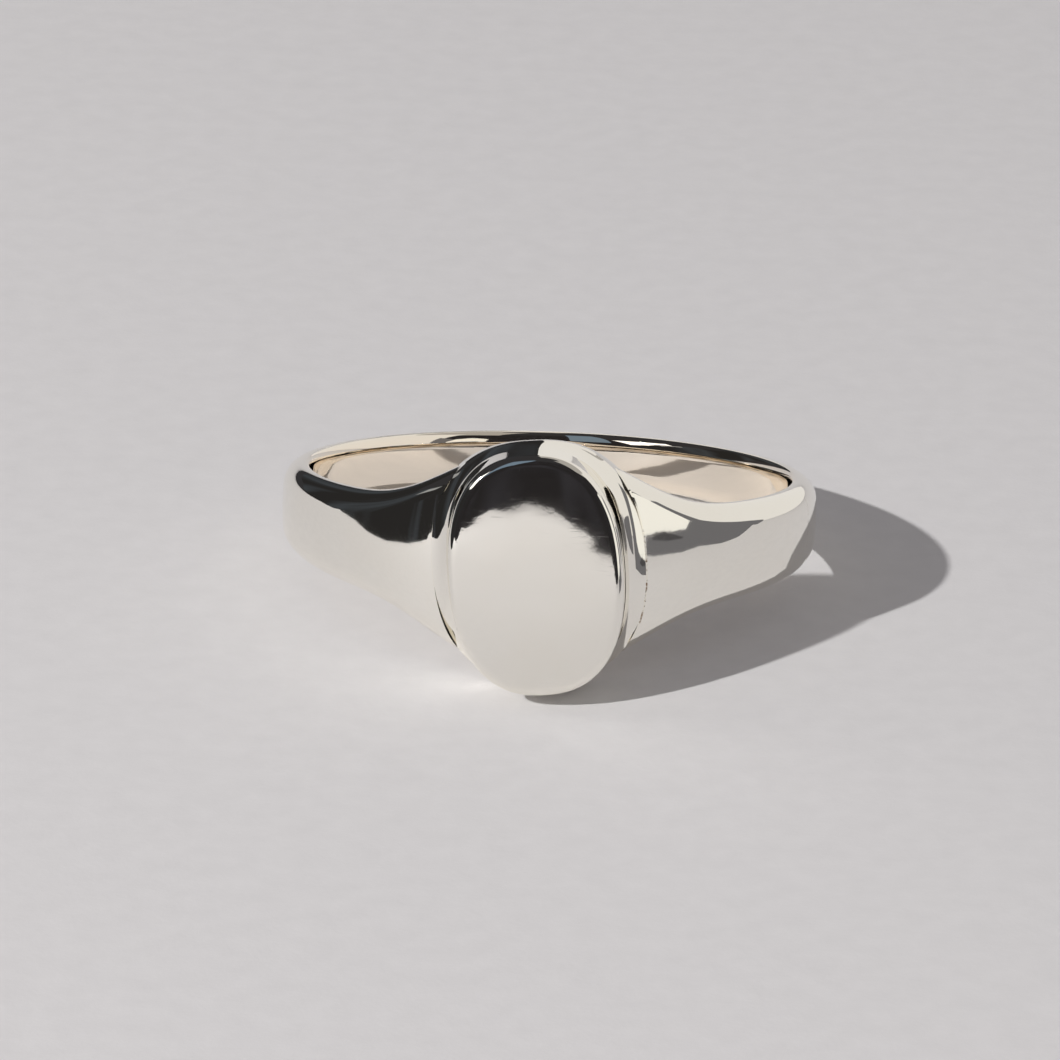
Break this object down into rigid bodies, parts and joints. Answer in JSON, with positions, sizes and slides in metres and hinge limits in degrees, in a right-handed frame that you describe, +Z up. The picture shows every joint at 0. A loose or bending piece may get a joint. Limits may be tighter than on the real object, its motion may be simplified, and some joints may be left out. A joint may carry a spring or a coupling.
{
  "type": "signet ring",
  "caption": "Signet ring with a blank oval face on a raised head, flared shoulders and a slim tapering band.",
  "frame": {"origin": "middle of the ring's outline, on the surface that it lies on", "axes": "+Z up. The ring lies on its side, resting on the lower edge of its head and on the back of its shank. The face looks along -Y and leans back by 10.9 degrees; +X is to the right as one looks at the face"},
  "size_m": [0.0196, 0.0218, 0.0091],
  "materials": {
    "sterling_silver": "mirror-polished sterling silver",
    "silver_solder": "polished silver solder, slightly yellow"
  },
  "bodies": {
    "root": {"face_plate": "sterling_silver", "face_seam": "silver_solder", "head_body": "sterling_silver", "head_seam_left": "silver_solder", "head_seam_right": "silver_solder", "shoulder_left": "sterling_silver", "shoulder_right": "sterling_silver", "shank_seam_left": "silver_solder", "shank_seam_right": "silver_solder", "shank": "sterling_silver"}
  },
  "joints": []
}
